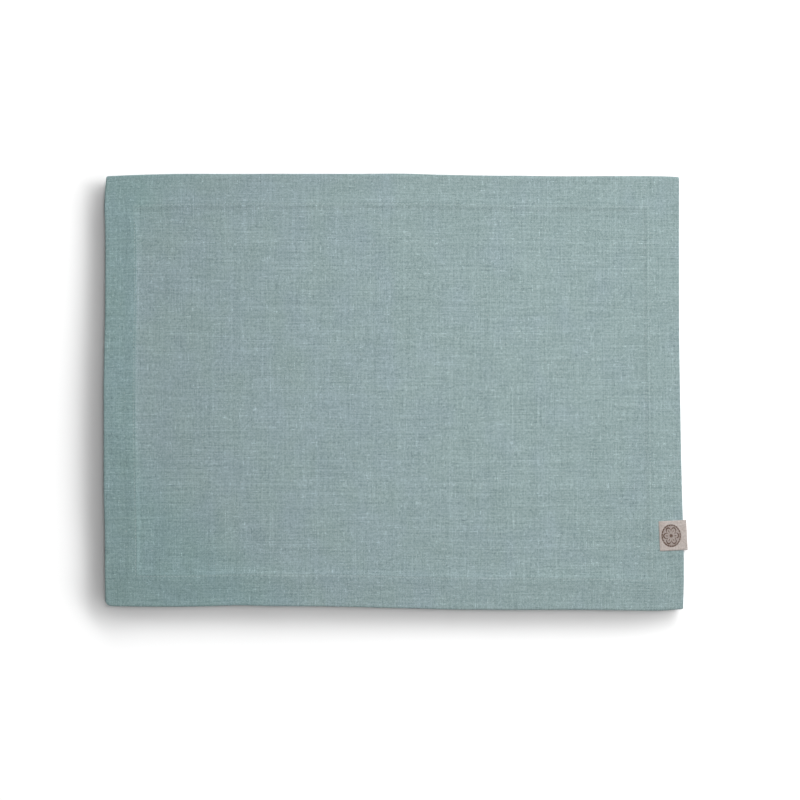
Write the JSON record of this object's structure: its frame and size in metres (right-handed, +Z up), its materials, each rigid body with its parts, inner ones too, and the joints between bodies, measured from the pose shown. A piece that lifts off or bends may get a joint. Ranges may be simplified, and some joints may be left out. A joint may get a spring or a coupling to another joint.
{
  "type": "fabric placemat",
  "caption": "Flat rectangular linen placemat with a wide turned hem, mitred corners and a small tape label folded over one edge.",
  "frame": {"origin": "centre of the footprint, label included, on the surface that the mat lies on", "axes": "+X along the long side, +Y along the short side away from the diner, +Z up through the cloth"},
  "size_m": [0.5068, 0.379, 0.0044],
  "materials": {
    "linen": "plain-weave linen, dusty teal, pressed, matt",
    "label_tape": "natural linen tape, pale pinkish beige, matt"
  },
  "bodies": {
    "root": {"mat": "linen", "label": "label_tape"}
  },
  "joints": []
}
